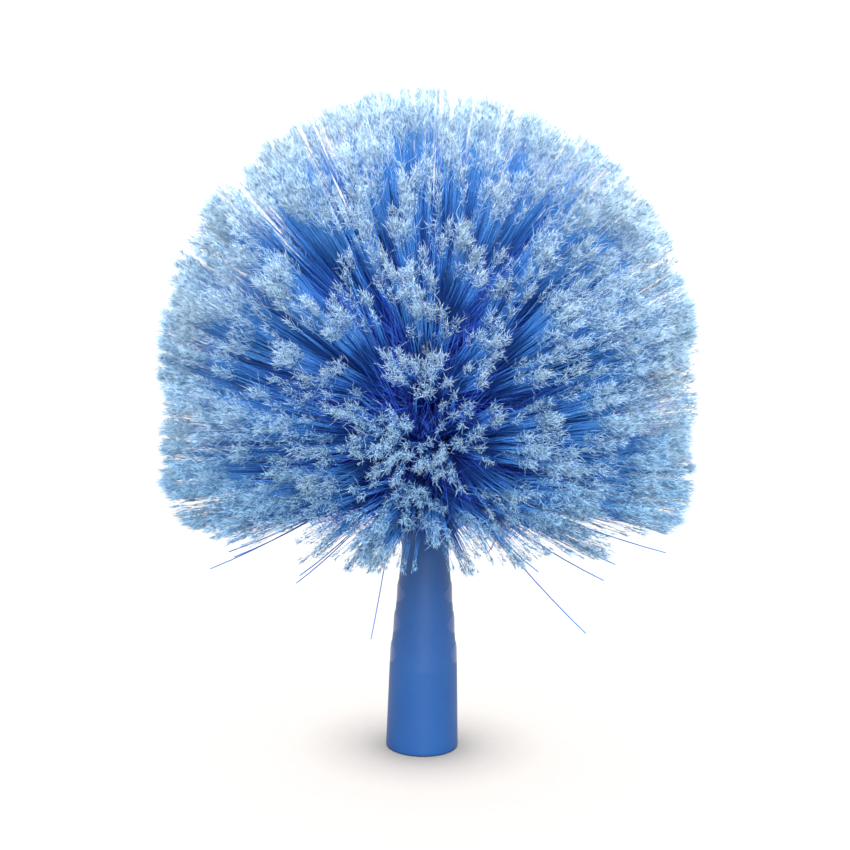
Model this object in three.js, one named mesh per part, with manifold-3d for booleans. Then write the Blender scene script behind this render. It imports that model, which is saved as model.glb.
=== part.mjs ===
// A dusting brush head: a moulded pole socket that swells into a bulb, and tufts of flagged bristles
// that flat wire anchors hold in the bulb's holes.
// Millimetres, +Z up. The origin is the middle of the socket's rim, which the brush stands on.
import * as THREE from "three";
import { mergeGeometries, mergeVertices } from "three/addons/utils/BufferGeometryUtils.js";
import Module from "manifold-3d";

// The socket's outside, from the rim upwards
const RIM_RADIUS = 11.75;
const RIM_ROUND = 0.6;
const SKIRT_LENGTH = 28.5;
const SKIRT_TOP_RADIUS = 10.95;
const TAPER_LENGTH = 36.5;
const NECK_RADIUS = 7.6;
const FLARE_LENGTH = 21;
const FLARE_PULL = 11;

// The bore that takes a pole: a straight threaded length, a step, and a taper to a blind end
const BORE_RADIUS = 9.4;
const BORE_LENGTH = 24;
const BORE_LEAD_IN = 0.8;
const TAPER_BORE_RADIUS = 8.3;
const TAPER_BORE_LENGTH = 26;
const TAPER_BORE_END_RADIUS = 6.2;
const BORE_END_ROUND = 2;

// The grip lugs, in a row up two opposite sides of the taper
const LUGS_PER_SIDE = 3;
const LUG_PITCH = 10.2;
const LUG_WIDTH = 13;
const LUG_HEIGHT = 6.8;
const LUG_CREST = 5.2;
const LUG_PROUD = 0.3;
const LUG_TOP_STEP = 0.15;
const LUG_ROOT = 0.5;
const FIRST_LUG_ABOVE_SKIRT = 3.6;

// The bulb: a bullet whose wall holds the tufts, in slices round a plain core
const BULB_RADIUS = 18;
const BULB_STRAIGHT_LENGTH = 38.4;
const SEAM_GAP = 0.3;

// The flat wire anchor, driven down across the middle of a tuft. The hole round the tuft is packed full,
// so the tuft's foot and the wall are one solid, and only the slit that holds the wire is open.
const HOLE_RADIUS = 1.8;
const WIRE_BITE = 0.45;
const WIRE_THICKNESS = 0.4;
const WIRE_WIDTH = 1.6;
const WIRE_DEPTH = 4.4;
const WIRE_CLEARANCE = 0.3;
const WALL_UNDER_WIRE = 2;

// The bristles: a strand is a lock of filaments that widens to its flagged tip. A tuft has a row above its
// wire and a shorter row below, whose strands stand in the gaps of the row above.
const STRANDS_ABOVE_WIRE = 4;
const STRANDS_BELOW_WIRE = 3;
const STRAND_ROOT_RADIUS = 0.4;
const STRAND_TIP_RADIUS = 1.4;
const STRAND_PITCH = 0.9;
const STRAND_TO_SLIT = 0.1;
const STRAND_SINK = 1.5;
const ROW_SPREAD_DEG = 6.5;
const ROW_ZIGZAG_DEG = 2.2;
const COLUMN_SPREAD_DEG = 8.5;
const RAGGED = 2.5;

// The outline that the bristles are trimmed to: a cylinder with a round top
const BRUSH_RADIUS = 85;
const BRUSH_ROUND_Z = 129;

// The tuft rings, from the lowest up. A ring on the bulb's straight part stands in the middle of its
// slice, and one on the dome stands seatDeg above the dome's equator. Its tufts rise by tiltDeg.
const STRAIGHT_RINGS = [
  { slice: "bristle_ring_lower", tufts: 12, tiltDeg: -3.3 },
  { slice: "bristle_ring_middle", tufts: 12, tiltDeg: 12 },
  { slice: "bristle_ring_upper", tufts: 12, tiltDeg: 28 },
];
const DOME_RINGS = [
  { slice: "bristle_crown", tufts: 10, tiltDeg: 43, seatDeg: 29 },
  { slice: "bristle_crown", tufts: 6, tiltDeg: 63, seatDeg: 60 },
  { slice: "bristle_crown", tufts: 1, tiltDeg: 90, seatDeg: 90 },
];

// Facets
const TURN_STEPS = 40;
const SLICE_STEPS = 24;
const ARC_STEPS = 5;
const FLARE_STEPS = 8;
const LUG_STEPS = 16;
const STRAND_SIDES = 3;
const MERGE_DISTANCE = 1e-4;

// Sizes and places that follow from the ones above
const TAPER_SLOPE = (SKIRT_TOP_RADIUS - NECK_RADIUS) / TAPER_LENGTH;
const NECK_Z = SKIRT_LENGTH + TAPER_LENGTH;
const BULB_Z = NECK_Z + FLARE_LENGTH;
const DOME_Z = BULB_Z + BULB_STRAIGHT_LENGTH;
const SLICE_HEIGHT = BULB_STRAIGHT_LENGTH / STRAIGHT_RINGS.length;
const SLICE_INNER_RADIUS = BULB_RADIUS - WIRE_DEPTH - WALL_UNDER_WIRE;
const CORE_RADIUS = SLICE_INNER_RADIUS - SEAM_GAP;
const WIRE_LENGTH = 2 * (HOLE_RADIUS + WIRE_BITE);
const SLIT_WIDTH = WIRE_THICKNESS + 2 * WIRE_CLEARANCE;

const { degToRad, lerp } = THREE.MathUtils;

const blockPlastic = new THREE.MeshStandardMaterial({ color: "#3d6eae", roughness: 0.42 });
const bristlePlastic = new THREE.MeshStandardMaterial({ color: "#8db6e0", roughness: 0.55 });
const anchorSteel = new THREE.MeshStandardMaterial({ color: "#b9bcc0", roughness: 0.35, metalness: 1 });

const wasm = await Module();
wasm.setup();

// A closed geometry as a solid that can be joined and cut.
function solidOf(geometry) {
  const bare = geometry.clone();
  bare.deleteAttribute("normal");
  bare.deleteAttribute("uv");
  const merged = mergeVertices(bare, MERGE_DISTANCE);
  return new wasm.Manifold(
    new wasm.Mesh({
      numProp: 3,
      vertProperties: new Float32Array(merged.attributes.position.array),
      triVerts: new Uint32Array(merged.index.array),
    }),
  );
}

// A named mesh of a solid.
function meshOf(name, solid, material) {
  const { vertProperties, triVerts } = solid.getMesh();
  const geometry = new THREE.BufferGeometry();
  geometry.setAttribute("position", new THREE.BufferAttribute(vertProperties, 3));
  geometry.setIndex(new THREE.BufferAttribute(triVerts, 1));
  geometry.computeVertexNormals();
  const mesh = new THREE.Mesh(geometry, material);
  mesh.name = name;
  return mesh;
}

// A profile of [radius, height] points turned round the Z axis. It runs up where it faces outwards.
function turned(profile, steps) {
  const points = profile.map(([radius, height]) => new THREE.Vector2(radius, height));
  return new THREE.LatheGeometry(points, steps).rotateX(Math.PI / 2);
}

// The [radius, height] points of an arc, between two angles above the horizontal.
function arc(centreRadius, centreZ, radius, fromDeg, toDeg) {
  return Array.from({ length: ARC_STEPS + 1 }, (_, step) => {
    const angle = degToRad(lerp(fromDeg, toDeg, step / ARC_STEPS));
    return [centreRadius + radius * Math.cos(angle), centreZ + radius * Math.sin(angle)];
  });
}

// The bore's half of the socket's profile, from its blind end on the axis down to the rim.
function boreProfile() {
  const endZ = BORE_LENGTH + TAPER_BORE_LENGTH;
  const roundRadius = TAPER_BORE_END_RADIUS - BORE_END_ROUND;
  return [
    [0, endZ],
    ...arc(roundRadius, endZ - BORE_END_ROUND, BORE_END_ROUND, 90, 0),
    [TAPER_BORE_RADIUS, BORE_LENGTH],
    [BORE_RADIUS, BORE_LENGTH],
    [BORE_RADIUS, BORE_LEAD_IN],
    [BORE_RADIUS + BORE_LEAD_IN, 0],
  ];
}

// The flare from the neck to the bulb: an S that leaves along the taper and arrives upright.
function flareProfile(topZ) {
  const flare = new THREE.CubicBezierCurve(
    new THREE.Vector2(NECK_RADIUS, NECK_Z),
    new THREE.Vector2(NECK_RADIUS - TAPER_SLOPE * FLARE_PULL, NECK_Z + FLARE_PULL),
    new THREE.Vector2(BULB_RADIUS, topZ - FLARE_PULL),
    new THREE.Vector2(BULB_RADIUS, topZ),
  );
  return flare.getPoints(FLARE_STEPS).map((point) => [point.x, point.y]);
}

// The taper's radius at a height.
function taperRadius(z) {
  return SKIRT_TOP_RADIUS - TAPER_SLOPE * (z - SKIRT_LENGTH);
}

// A pad on the taper: flush at its lower end, proudest at its crest, with a small step at its upper end.
function gripLug(index, side) {
  const middleZ = SKIRT_LENGTH + FIRST_LUG_ABOVE_SKIRT + index * LUG_PITCH;
  const lowZ = middleZ - LUG_HEIGHT / 2;
  const highZ = middleZ + LUG_HEIGHT / 2;
  const crestZ = lowZ + LUG_CREST;
  const rootRadius = taperRadius(highZ) - LUG_ROOT;
  const outline = new THREE.Shape();
  outline.absellipse(0, 0, LUG_WIDTH / 2, LUG_HEIGHT / 2, 0, 2 * Math.PI);
  const prism = new THREE.ExtrudeGeometry(outline, {
    depth: RIM_RADIUS,
    bevelEnabled: false,
    curveSegments: LUG_STEPS / 2,
  });
  prism.rotateX(Math.PI / 2);
  prism.rotateZ((side * Math.PI) / 2);
  prism.translate(0, 0, middleZ);
  const sleeve = [
    [rootRadius, lowZ],
    [taperRadius(lowZ), lowZ],
    [taperRadius(crestZ) + LUG_PROUD, crestZ],
    [taperRadius(highZ) + LUG_TOP_STEP, highZ],
    [rootRadius, highZ],
    [rootRadius, lowZ],
  ];
  return solidOf(prism).intersect(solidOf(turned(sleeve, TURN_STEPS)));
}

// The socket, the neck, the flare and the bulb's core are one moulding, with the lugs on its sides.
function poleSocket() {
  const shoulderZ = BULB_Z - SEAM_GAP / 2;
  const profile = [
    ...boreProfile(),
    ...arc(RIM_RADIUS - RIM_ROUND, RIM_ROUND, RIM_ROUND, -90, 0),
    [SKIRT_TOP_RADIUS, SKIRT_LENGTH],
    ...flareProfile(shoulderZ),
    [CORE_RADIUS, shoulderZ],
    ...arc(0, DOME_Z, CORE_RADIUS, 0, 90),
  ];
  let body = solidOf(turned(profile, TURN_STEPS));
  for (const side of [-1, 1]) {
    for (let index = 0; index < LUGS_PER_SIDE; index += 1) body = body.add(gripLug(index, side));
  }
  return body;
}

// A ring of the bulb's wall, before its tufts are set.
function straightSlice(index) {
  const lowZ = BULB_Z + index * SLICE_HEIGHT + SEAM_GAP / 2;
  const highZ = lowZ + SLICE_HEIGHT - SEAM_GAP;
  const profile = [
    [SLICE_INNER_RADIUS, lowZ],
    [BULB_RADIUS, lowZ],
    [BULB_RADIUS, highZ],
    [SLICE_INNER_RADIUS, highZ],
    [SLICE_INNER_RADIUS, lowZ],
  ];
  return solidOf(turned(profile, SLICE_STEPS));
}

// The bulb's domed end, before its tufts are set.
function crownSlice() {
  const lowZ = DOME_Z + SEAM_GAP / 2;
  const inner = arc(0, DOME_Z, SLICE_INNER_RADIUS, 0, 90).reverse();
  const outer = arc(0, DOME_Z, BULB_RADIUS, 0, 90);
  inner[ARC_STEPS][1] = lowZ;
  outer[0][1] = lowZ;
  return solidOf(turned([...inner, ...outer], SLICE_STEPS));
}

// The place of a tuft, at the mouth of its hole: x runs along the wire, y up the bulb and z outwards.
function tuftSeat([mouthRadius, mouthZ], tiltDeg, azimuth) {
  const tilt = degToRad(tiltDeg);
  const along = new THREE.Vector3(0, 1, 0);
  const upward = new THREE.Vector3(-Math.sin(tilt), 0, Math.cos(tilt));
  const outward = new THREE.Vector3(Math.cos(tilt), 0, Math.sin(tilt));
  const upright = new THREE.Matrix4().makeBasis(along, upward, outward);
  upright.setPosition(mouthRadius, 0, mouthZ);
  return upright.premultiply(new THREE.Matrix4().makeRotationZ(azimuth));
}

// The slit that the driven wire leaves in a tuft and the wall beside it.
function wireSlit(seat) {
  const length = WIRE_LENGTH + 2 * WIRE_CLEARANCE;
  const depth = WIRE_DEPTH + WIRE_CLEARANCE;
  const slit = new THREE.BoxGeometry(length, SLIT_WIDTH, 2 * depth);
  return solidOf(slit.applyMatrix4(seat));
}

// How far along a direction a line from inside a circle or ball about the origin meets it.
function distanceToRound(start, direction, radius) {
  const square = direction.lengthSq();
  const along = start.dot(direction) / square;
  return Math.sqrt(along * along + (radius * radius - start.lengthSq()) / square) - along;
}

// Where a strand ends on the trimmed outline, or pullBack inside it.
function trimmedTip(root, direction, pullBack) {
  const reach = BRUSH_RADIUS - pullBack;
  const flatRoot = new THREE.Vector2(root.x, root.y);
  const flatDirection = new THREE.Vector2(direction.x, direction.y);
  const toSide = distanceToRound(flatRoot, flatDirection, reach);
  const atSide = root.clone().addScaledVector(direction, toSide);
  if (atSide.z <= BRUSH_ROUND_Z) return atSide;
  const fromCentre = root.clone().setZ(root.z - BRUSH_ROUND_Z);
  return root.clone().addScaledVector(direction, distanceToRound(fromCentre, direction, reach));
}

// A strand from its root to its tip, with its sides set out along two directions.
function strandGeometry(root, tip, along, upward) {
  const positions = [];
  const indices = [];
  const ends = [
    [root, STRAND_ROOT_RADIUS],
    [tip, STRAND_TIP_RADIUS],
  ];
  for (const [end, radius] of ends) {
    for (let side = 0; side < STRAND_SIDES; side += 1) {
      const angle = (2 * Math.PI * side) / STRAND_SIDES;
      const corner = end.clone().addScaledVector(along, radius * Math.sin(angle));
      corner.addScaledVector(upward, -radius * Math.cos(angle));
      positions.push(corner.x, corner.y, corner.z);
    }
  }
  for (let side = 0; side < STRAND_SIDES; side += 1) {
    const next = (side + 1) % STRAND_SIDES;
    indices.push(side, next, next + STRAND_SIDES);
    indices.push(side, next + STRAND_SIDES, side + STRAND_SIDES);
  }
  for (let side = 1; side < STRAND_SIDES - 1; side += 1) {
    indices.push(0, side + 1, side);
    indices.push(STRAND_SIDES, STRAND_SIDES + side, STRAND_SIDES + side + 1);
  }
  const geometry = new THREE.BufferGeometry();
  geometry.setAttribute("position", new THREE.Float32BufferAttribute(positions, 3));
  return geometry.setIndex(indices);
}

// A tuft's strands: a row on each side of the slit, fanned out from roots that are sunk in the wall.
function tuftStrands(seat) {
  const along = new THREE.Vector3();
  const upward = new THREE.Vector3();
  seat.extractBasis(along, upward, new THREE.Vector3());
  const rowOffset = SLIT_WIDTH / 2 + STRAND_ROOT_RADIUS + STRAND_TO_SLIT;
  const rows = [
    { side: 1, count: STRANDS_ABOVE_WIRE },
    { side: -1, count: STRANDS_BELOW_WIRE },
  ];
  const strands = [];
  for (const { side, count } of rows) {
    for (let index = 0; index < count; index += 1) {
      const column = index - (count - 1) / 2;
      const odd = index % 2 === 1;
      const columnFan = Math.tan(degToRad(column * COLUMN_SPREAD_DEG));
      const rowFan = Math.tan(degToRad(side * ROW_SPREAD_DEG + (odd ? -ROW_ZIGZAG_DEG : ROW_ZIGZAG_DEG)));
      const root = new THREE.Vector3(column * STRAND_PITCH, side * rowOffset, -STRAND_SINK);
      root.applyMatrix4(seat);
      const direction = new THREE.Vector3(columnFan, rowFan, 1).transformDirection(seat);
      const tip = trimmedTip(root, direction, odd ? RAGGED : 0);
      strands.push(strandGeometry(root, tip, along, upward));
    }
  }
  return strands;
}

// The mouth of each ring's tufts, as [radius, height].
function ringMouths() {
  const straight = STRAIGHT_RINGS.map((ring, index) => {
    return { ...ring, mouth: [BULB_RADIUS, BULB_Z + (index + 0.5) * SLICE_HEIGHT] };
  });
  const dome = DOME_RINGS.map((ring) => {
    const seat = degToRad(ring.seatDeg);
    return { ...ring, mouth: [BULB_RADIUS * Math.cos(seat), DOME_Z + BULB_RADIUS * Math.sin(seat)] };
  });
  return [...straight, ...dome];
}

// Every tuft's seat, ring by ring, with each ring turned half a pitch from the one below.
function tuftSeats() {
  return ringMouths().flatMap((ring, ringIndex) => {
    return Array.from({ length: ring.tufts }, (_, index) => {
      const azimuth = (2 * Math.PI * (index + (ringIndex % 2) / 2)) / ring.tufts;
      return { slice: ring.slice, seat: tuftSeat(ring.mouth, ring.tiltDeg, azimuth) };
    });
  });
}

// A slice of the bulb with its slits cut and its strands set in its wall.
function bristleSlice(blank, seats) {
  let wall = blank;
  for (const seat of seats) wall = wall.subtract(wireSlit(seat));
  const strands = seats.flatMap((seat) => tuftStrands(seat));
  return wall.add(solidOf(mergeGeometries(strands)));
}

// A flat wire anchor, in a group that stands at its tuft's seat.
function wireAnchor(number, seat) {
  const wire = new THREE.BoxGeometry(WIRE_LENGTH, WIRE_THICKNESS, WIRE_WIDTH);
  const mesh = new THREE.Mesh(wire, anchorSteel);
  mesh.name = "wire_anchor_" + String(number).padStart(2, "0");
  mesh.position.z = WIRE_WIDTH / 2 - WIRE_DEPTH;
  const place = new THREE.Group();
  place.applyMatrix4(seat);
  return place.add(mesh);
}

const brush = new THREE.Group();
brush.name = "dusting_brush";
brush.add(meshOf("pole_socket", poleSocket(), blockPlastic));

const tufts = tuftSeats();
const blanks = STRAIGHT_RINGS.map((ring, index) => [ring.slice, straightSlice(index)]);
blanks.push([DOME_RINGS[0].slice, crownSlice()]);
for (const [name, blank] of blanks) {
  const seats = tufts.filter((tuft) => tuft.slice === name).map((tuft) => tuft.seat);
  brush.add(meshOf(name, bristleSlice(blank, seats), bristlePlastic));
}
tufts.forEach((tuft, index) => brush.add(wireAnchor(index + 1, tuft.seat)));

export default brush;
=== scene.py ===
# %% [markdown]
# # A dusting brush
# This is the round head of a brush for cobwebs. It is a moulded plastic socket that takes a pole, a bulb
# on top of it, and tufts of blue bristles set all over the bulb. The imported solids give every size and
# place. They are loaded first and never moved, and each piece made below sits where its solid sits.

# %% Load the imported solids
import math

import bpy
import numpy as np
from mathutils import Matrix, Vector


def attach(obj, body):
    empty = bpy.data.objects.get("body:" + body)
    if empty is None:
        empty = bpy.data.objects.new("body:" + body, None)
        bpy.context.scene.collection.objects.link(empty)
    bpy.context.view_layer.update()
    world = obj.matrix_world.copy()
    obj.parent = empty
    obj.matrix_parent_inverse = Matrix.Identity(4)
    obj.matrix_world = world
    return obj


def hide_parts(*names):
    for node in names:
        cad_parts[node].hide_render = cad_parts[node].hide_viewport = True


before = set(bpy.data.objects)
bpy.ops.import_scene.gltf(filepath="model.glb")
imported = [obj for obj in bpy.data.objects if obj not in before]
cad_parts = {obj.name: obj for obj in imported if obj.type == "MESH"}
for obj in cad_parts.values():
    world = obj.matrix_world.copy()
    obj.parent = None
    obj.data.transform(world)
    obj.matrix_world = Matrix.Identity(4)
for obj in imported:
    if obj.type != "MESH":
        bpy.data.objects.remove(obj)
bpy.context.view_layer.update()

MM = 0.001
print("solids loaded:", len(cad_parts))

# %% [markdown]
# ## Small helpers
# Colours are picked as sRGB hex values, but a shader socket wants linear light, so one function turns one
# into the other. A second adds a shader node with its settings and links, and a third starts a material.
# The next makes a mesh piece from arrays, which is the quick way to fill a mesh: this brush has over three
# million faces. The last says where a piece belongs.

# %% Colour and node helpers
def linear(hex_colour):
    """An sRGB hex colour as the linear colour that a shader socket takes."""
    parts = [int(hex_colour[place:place + 2], 16) / 255 for place in (1, 3, 5)]
    bent = [part / 12.92 if part <= 0.04045 else ((part + 0.055) / 1.055) ** 2.4 for part in parts]
    return (*bent, 1.0)


def add(tree, kind, sockets, **settings):
    """Adds a node. Each socket gets a plain value, or a link from another node's output."""
    node = tree.nodes.new(kind)
    for name, value in settings.items():
        setattr(node, name, value)
    for name, value in sockets.items():
        if isinstance(value, bpy.types.NodeSocket):
            tree.links.new(value, node.inputs[name])
        else:
            node.inputs[name].default_value = value
    return node


def bare_material(name):
    """A material with an empty tree and its output node."""
    material = bpy.data.materials.new(name)
    material.use_nodes = True
    tree = material.node_tree
    tree.nodes.clear()
    return material, tree, tree.nodes.new("ShaderNodeOutputMaterial")


print("colour and node helpers ready")

# %% Mesh helpers
def piece_of(name, corners, faces, material):
    """A mesh object from corners in millimetres and an array of faces with equal corner counts."""
    mesh = bpy.data.meshes.new(name)
    faces = np.asarray(faces, np.int32)
    sides = faces.shape[1]
    mesh.vertices.add(len(corners))
    mesh.vertices.foreach_set("co", (np.asarray(corners) * MM).astype(np.float32).ravel())
    mesh.loops.add(faces.size)
    mesh.loops.foreach_set("vertex_index", faces.ravel())
    mesh.polygons.add(len(faces))
    mesh.polygons.foreach_set("loop_start", np.arange(0, faces.size, sides, dtype=np.int32))
    mesh.update(calc_edges=True)
    mesh.materials.append(material)
    piece = bpy.data.objects.new(name, mesh)
    bpy.context.scene.collection.objects.link(piece)
    return piece


def seat_on_brush(piece, slot, *nodes):
    """Says that a piece rides on the brush and hides the solids it stands for. The slot is not used."""
    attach(piece, "root")
    if nodes:
        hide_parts(*nodes)


print("mesh helpers ready")

# %% [markdown]
# ## Camera
# The picture was taken from a little above, about 0.7 m away, with a long lens. The camera looks down by
# some 12 degrees and is tipped by one degree, because the brush leans by that much in the picture. A
# constraint could aim it at the brush, but plain sizes, fitted to the picture, are easier to read.

# %% Camera
CAMERA_BACK = 700
CAMERA_HEIGHT = 260
CAMERA_LEFT = 0.8
CAMERA_DOWN_DEG = 12.3
CAMERA_TIPPED_DEG = 1.0
CAMERA_LENS = 95.3
CAMERA_NEAR = 10
CAMERA_FAR = 100000

lens = bpy.data.cameras.new("picture_camera")
lens.lens = CAMERA_LENS
lens.clip_start = CAMERA_NEAR * MM
lens.clip_end = CAMERA_FAR * MM
camera = bpy.data.objects.new("picture_camera", lens)
bpy.context.scene.collection.objects.link(camera)
looking_down = Matrix.Rotation(math.radians(90 - CAMERA_DOWN_DEG), 4, "X")
tipped = Matrix.Rotation(math.radians(CAMERA_TIPPED_DEG), 4, "Z")
stand = Matrix.Translation((-CAMERA_LEFT * MM, -CAMERA_BACK * MM, CAMERA_HEIGHT * MM))
camera.matrix_world = stand @ looking_down @ tipped
bpy.context.scene.camera = camera
print("camera stands", CAMERA_BACK, "mm back")

# %% [markdown]
# ## Moulded plastic of the socket
# The socket is injection-moulded polypropylene, dyed through in one mid blue. Its mould was lightly
# blasted, which gives a satin skin: soft broad highlights, no mirror, and a grain that is just visible
# close up. Where the plastic flowed into the mould the colour is uneven by a hair. The grip lugs were left
# polished, so they catch more of the bright room than the skin round them. Two noises make the skin, one
# for the flow and one for the grain, and an attribute on the mesh says where the lugs are.

# %% Satin moulded polypropylene
# A blasted grain is nearer 0.1 mm. It is drawn coarser here, or it would be too fine to show.
GRAIN_MM = 0.5
GRAIN_DEPTH_MM = 0.05
GRAIN_BUMP = 0.12
FLOW_MARK_MM = 14
FLOW_COLOURS = [(0.3, "#073466"), (0.7, "#0b3a6c")]
POLYPROPYLENE_IOR = 1.49
SKIN_LEAST_ROUGH = 0.40
SKIN_MOST_ROUGH = 0.54
SKIN_SPECULAR = 0.3
LUG_ATTRIBUTE = "lug_polish"
LUG_ROUGHNESS = 0.3
LUG_SPECULAR = 0.5

socket_plastic, tree, output = bare_material("satin_moulded_polypropylene")
place = add(tree, "ShaderNodeTexCoord", {})
flow = add(tree, "ShaderNodeTexNoise", {
    "Vector": place.outputs["Object"], "Scale": 1 / (FLOW_MARK_MM * MM), "Detail": 3.0})
grain = add(tree, "ShaderNodeTexNoise", {
    "Vector": place.outputs["Object"], "Scale": 1 / (GRAIN_MM * MM), "Detail": 2.0})
shade = add(tree, "ShaderNodeValToRGB", {"Fac": flow.outputs["Fac"]})
for stop, (place_on_ramp, colour) in zip(shade.color_ramp.elements, FLOW_COLOURS):
    stop.position = place_on_ramp
    stop.color = linear(colour)
sheen = add(tree, "ShaderNodeMapRange", {
    "Value": grain.outputs["Fac"], "To Min": SKIN_LEAST_ROUGH, "To Max": SKIN_MOST_ROUGH})
blasted = add(tree, "ShaderNodeBump", {
    "Height": grain.outputs["Fac"], "Strength": GRAIN_BUMP, "Distance": GRAIN_DEPTH_MM * MM})
lug = add(tree, "ShaderNodeAttribute", {}, attribute_name=LUG_ATTRIBUTE)
polish = add(tree, "ShaderNodeMix", {
    "Factor": lug.outputs["Fac"], "A": sheen.outputs["Result"], "B": LUG_ROUGHNESS})
shine = add(tree, "ShaderNodeMix", {
    "Factor": lug.outputs["Fac"], "A": SKIN_SPECULAR, "B": LUG_SPECULAR})
skin = add(tree, "ShaderNodeBsdfPrincipled", {
    "Base Color": shade.outputs["Color"], "Roughness": polish.outputs["Result"],
    "Normal": blasted.outputs["Normal"], "IOR": POLYPROPYLENE_IOR,
    "Specular IOR Level": shine.outputs["Result"]})
tree.links.new(skin.outputs["BSDF"], output.inputs["Surface"])
print("material:", socket_plastic.name)

# %% [markdown]
# ## Seats of the tufts
# Tufts sit in six rings: three round the straight part of the bulb and three on its dome. A tuft leans up
# more with each ring, and every second ring is turned by half a pitch, so the tips end up evenly spread.
# The numbers repeat those of the solids, so a tuft and its wire anchor share one seat.

# %% Seats of the tufts
# A straight ring is given by its height, its count of tufts and their tilt, a dome ring by the angle of its
# seats above the dome's foot, its count and the tilt.
BULB_RADIUS = 18
DOME_Z = 124.4
STRAIGHT_RINGS = [(92.4, 12, -3.3), (105.2, 12, 12), (118.0, 12, 28)]
DOME_RINGS = [(29, 10, 43), (60, 6, 63), (90, 1, 90)]
RING_NODES = ["bristle_ring_lower", "bristle_ring_middle", "bristle_ring_upper"] + 3 * ["bristle_crown"]


def ring_seats(ring, radius, height, tufts, tilt_deg):
    """Mouth, outward, along and upward vectors of each seat in one ring."""
    tilt = math.radians(tilt_deg)
    seats = []
    for index in range(tufts):
        turn = 2 * math.pi * (index + (ring % 2) / 2) / tufts
        out = np.array([math.cos(turn), math.sin(turn), 0])
        up = np.array([0, 0, 1])
        seats.append({
            "mouth": radius * out + height * up,
            "outward": math.cos(tilt) * out + math.sin(tilt) * up,
            "along": np.array([-math.sin(turn), math.cos(turn), 0]),
            "upward": math.cos(tilt) * up - math.sin(tilt) * out,
            "node": RING_NODES[ring],
            "ring": ring,
        })
    return seats


seats = []
for ring, (height, tufts, tilt) in enumerate(STRAIGHT_RINGS):
    seats += ring_seats(ring, BULB_RADIUS, height, tufts, tilt)
for ring, (seat_deg, tufts, tilt) in enumerate(DOME_RINGS, len(STRAIGHT_RINGS)):
    seat = math.radians(seat_deg)
    radius = BULB_RADIUS * math.cos(seat)
    seats += ring_seats(ring, radius, DOME_Z + BULB_RADIUS * math.sin(seat), tufts, tilt)
mouths = np.array([seat["mouth"] for seat in seats])
outwards = np.array([seat["outward"] for seat in seats])
alongs = np.array([seat["along"] for seat in seats])
upwards = np.array([seat["upward"] for seat in seats])
print("seats:", len(seats))

# %% [markdown]
# ## Socket and bulb
# The socket, its neck and the bulb are one moulding. A profile turned round the axis gives it. It could be
# a spin modifier on a drawn line, but the grip lugs have to grow out of the same skin, so the turned grid
# is made directly and the points under a lug are pushed out to the lug's upright face. The edge of a lug is
# eased over a fraction of a millimetre, as a mould would leave it.

# %% Sizes and stretches of the profile
RIM_RADIUS = 11.75
RIM_ROUND = 0.6
SKIRT_LENGTH = 28.5
SKIRT_TOP_RADIUS = 10.95
NECK_Z = 65
NECK_RADIUS = 7.6
BULB_Z = 86
FLARE_PULL = 11
BORE_RADIUS = 9.4
BORE_LENGTH = 24
BORE_LEAD_IN = 0.8
TAPER_BORE_RADIUS = 8.3
TAPER_BORE_END_RADIUS = 6.2
TAPER_BORE_LENGTH = 26
BORE_END_ROUND = 2
TAPER_SLOPE = (SKIRT_TOP_RADIUS - NECK_RADIUS) / (NECK_Z - SKIRT_LENGTH)


def straight(start, end, steps):
    """Points on a line, without its last one."""
    share = np.arange(steps)[:, None] / steps
    return np.array(start) * (1 - share) + np.array(end) * share


def arc(centre, radius, from_deg, to_deg, steps):
    """Points on an arc, without its last one."""
    angle = np.radians(from_deg + (to_deg - from_deg) * np.arange(steps) / steps)
    return np.array(centre) + radius * np.column_stack([np.cos(angle), np.sin(angle)])


def flare(steps):
    """The S from the neck to the bulb, without its last point."""
    share = np.arange(steps)[:, None] / steps
    pulls = [
        (NECK_RADIUS, NECK_Z),
        (NECK_RADIUS - TAPER_SLOPE * FLARE_PULL, NECK_Z + FLARE_PULL),
        (BULB_RADIUS, BULB_Z - FLARE_PULL),
        (BULB_RADIUS, BULB_Z),
    ]
    weights = [(1 - share) ** 3, 3 * share * (1 - share) ** 2, 3 * share ** 2 * (1 - share), share ** 3]
    return sum(weight * np.array(pull) for weight, pull in zip(weights, pulls))


print("bulb is", 2 * BULB_RADIUS, "mm across")

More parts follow.
